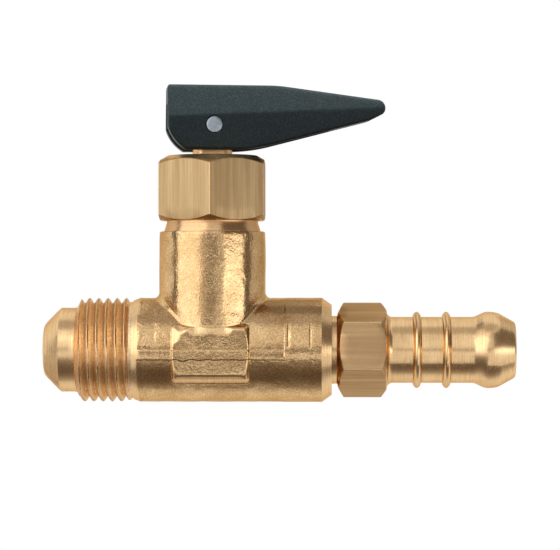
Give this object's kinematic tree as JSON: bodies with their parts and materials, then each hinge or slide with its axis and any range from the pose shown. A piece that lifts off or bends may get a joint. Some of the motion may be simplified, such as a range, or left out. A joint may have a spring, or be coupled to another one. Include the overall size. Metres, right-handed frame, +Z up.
{
  "type": "quick shut-off valve",
  "caption": "Straight brass shut-off valve with a flare thread inlet, a toggle lever on a raised neck, and a ribbed hose nozzle in line.",
  "frame": {"origin": "on the pipe axis, at the middle of the inlet thread", "axes": "+X along the pipe from the inlet thread to the hose nozzle, +Z up along the stem to the lever"},
  "size_m": [0.0723, 0.0184, 0.0485],
  "materials": {
    "forged_brass": "satin, faintly grained as forged, with machined bands",
    "turned_brass": "bright, fine turning marks",
    "seal_rubber": "matte",
    "spring_steel": "bright drawn wire",
    "lever_black": "satin with a fine grain",
    "pin_steel": "satin"
  },
  "bodies": {
    "housing": {"valve_body": "forged_brass", "hose_nozzle": "turned_brass", "cap_nut": "turned_brass", "stem_guide": "turned_brass", "guide_o_ring": "seal_rubber", "closing_spring": "spring_steel"},
    "disc": {"disc_holder": "turned_brass", "seat_seal": "seal_rubber"},
    "spindle": {"stem": "turned_brass", "stem_o_ring_lower": "seal_rubber", "stem_o_ring_upper": "seal_rubber"},
    "toggle": {"lever": "lever_black", "lever_pin": "pin_steel"}
  },
  "joints": [
    {"name": "disc_lift", "type": "slide", "parent": "housing", "child": "disc", "axis": [0, 0, 1], "range_m": [0, 0.003], "deforming": ["closing_spring"]},
    {"name": "stem_swivel", "type": "hinge", "parent": "disc", "child": "spindle", "pos_m": [0.01635, 0, 0.0096], "axis": [0, 0, 1], "continuous": true},
    {"name": "lever_flip", "type": "hinge", "parent": "spindle", "child": "toggle", "pos_m": [0.01635, 0, 0.0343], "axis": [0.1045, -0.9945, 0], "range_deg": [0, 90]}
  ],
  "couplings": [
    {"joint": "lever_flip", "follows": "disc_lift", "rad_per_m": 523}
  ]
}
